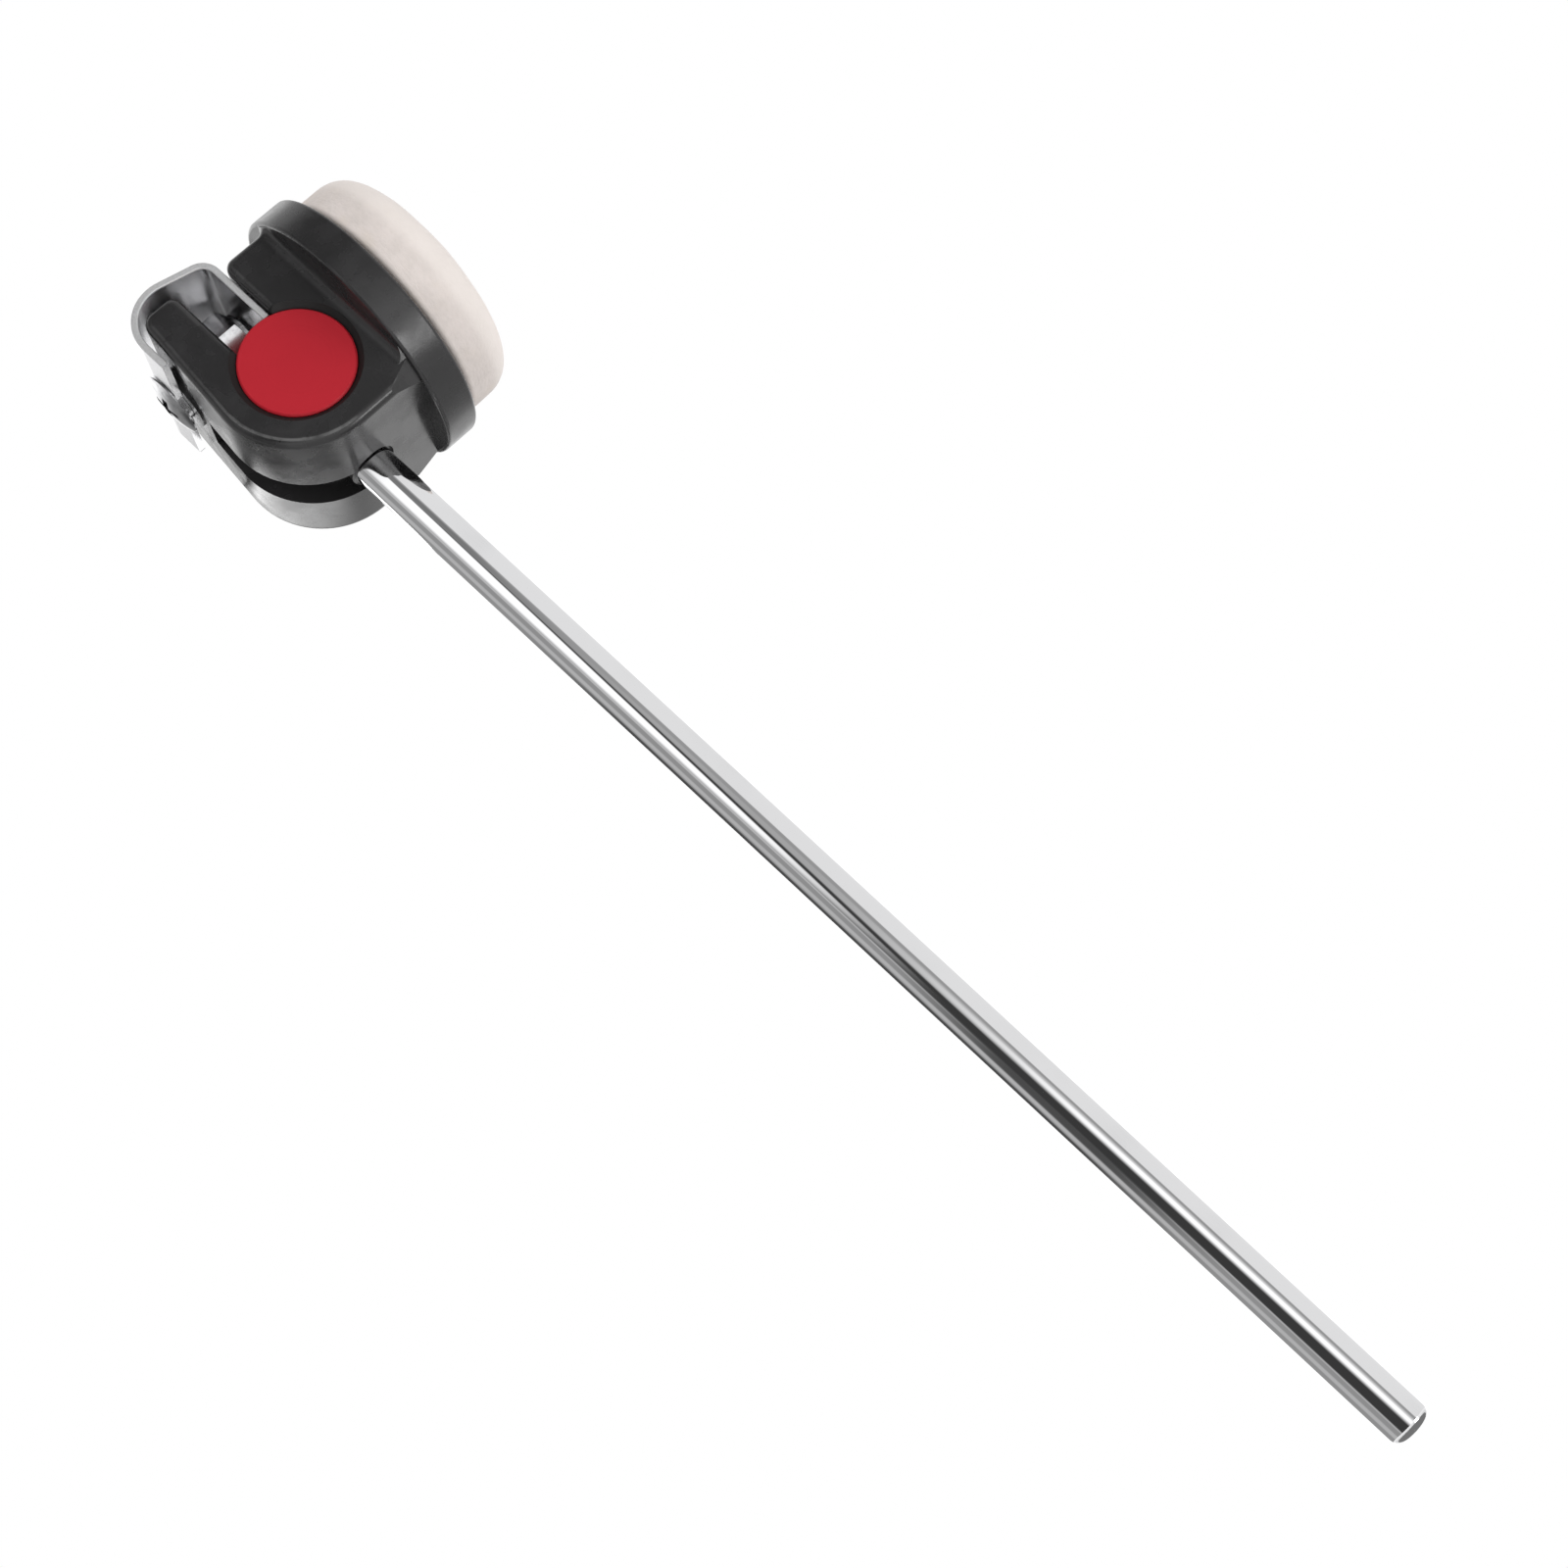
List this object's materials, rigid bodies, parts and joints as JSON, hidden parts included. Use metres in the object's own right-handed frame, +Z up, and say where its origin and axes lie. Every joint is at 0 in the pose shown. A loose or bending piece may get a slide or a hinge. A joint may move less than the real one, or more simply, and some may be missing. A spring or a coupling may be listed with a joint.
{
  "type": "bass drum beater",
  "caption": "Bass drum beater: a chromed shaft in a moulded head with a round felt pad and a sliding counterweight under a screwed-on spring clip.",
  "frame": {"origin": "on the shaft's axis, where its straight wall begins above the rounded free end", "axes": "+Z up the shaft to the head, +X the way the felt strikes, Y along the counterweight"},
  "size_m": [0.0552, 0.0526, 0.2896],
  "materials": {
    "shaft_chrome": "polished chrome plate on steel rod",
    "head_plastic": "satin black moulding",
    "weight_red": "red anodised, fine turned lines",
    "felt_white": "dense warm-white pressed wool felt",
    "bond_clear": "set contact adhesive",
    "clip_chrome": "plated spring strip with sheared edges",
    "fastener_zinc": "bright zinc plate",
    "insert_nylon": "natural nylon"
  },
  "bodies": {
    "head": {"shaft": "shaft_chrome", "head_body": "head_plastic", "felt_pad": "felt_white", "felt_bond": "bond_clear", "clip_screw": "fastener_zinc", "nut_washer": "fastener_zinc", "lock_nut": "fastener_zinc", "lock_nut_insert": "insert_nylon"},
    "clip": {"spring_clip": "clip_chrome"},
    "weight": {"counterweight": "weight_red"}
  },
  "joints": [
    {"name": "clip_slide", "type": "slide", "parent": "head", "child": "clip", "axis": [0, 0, 1], "range_m": [0, 0.006]},
    {"name": "weight_slide", "type": "slide", "parent": "head", "child": "weight", "axis": [0, 1, 0], "range_m": [-0.024, 0.024]}
  ]
}
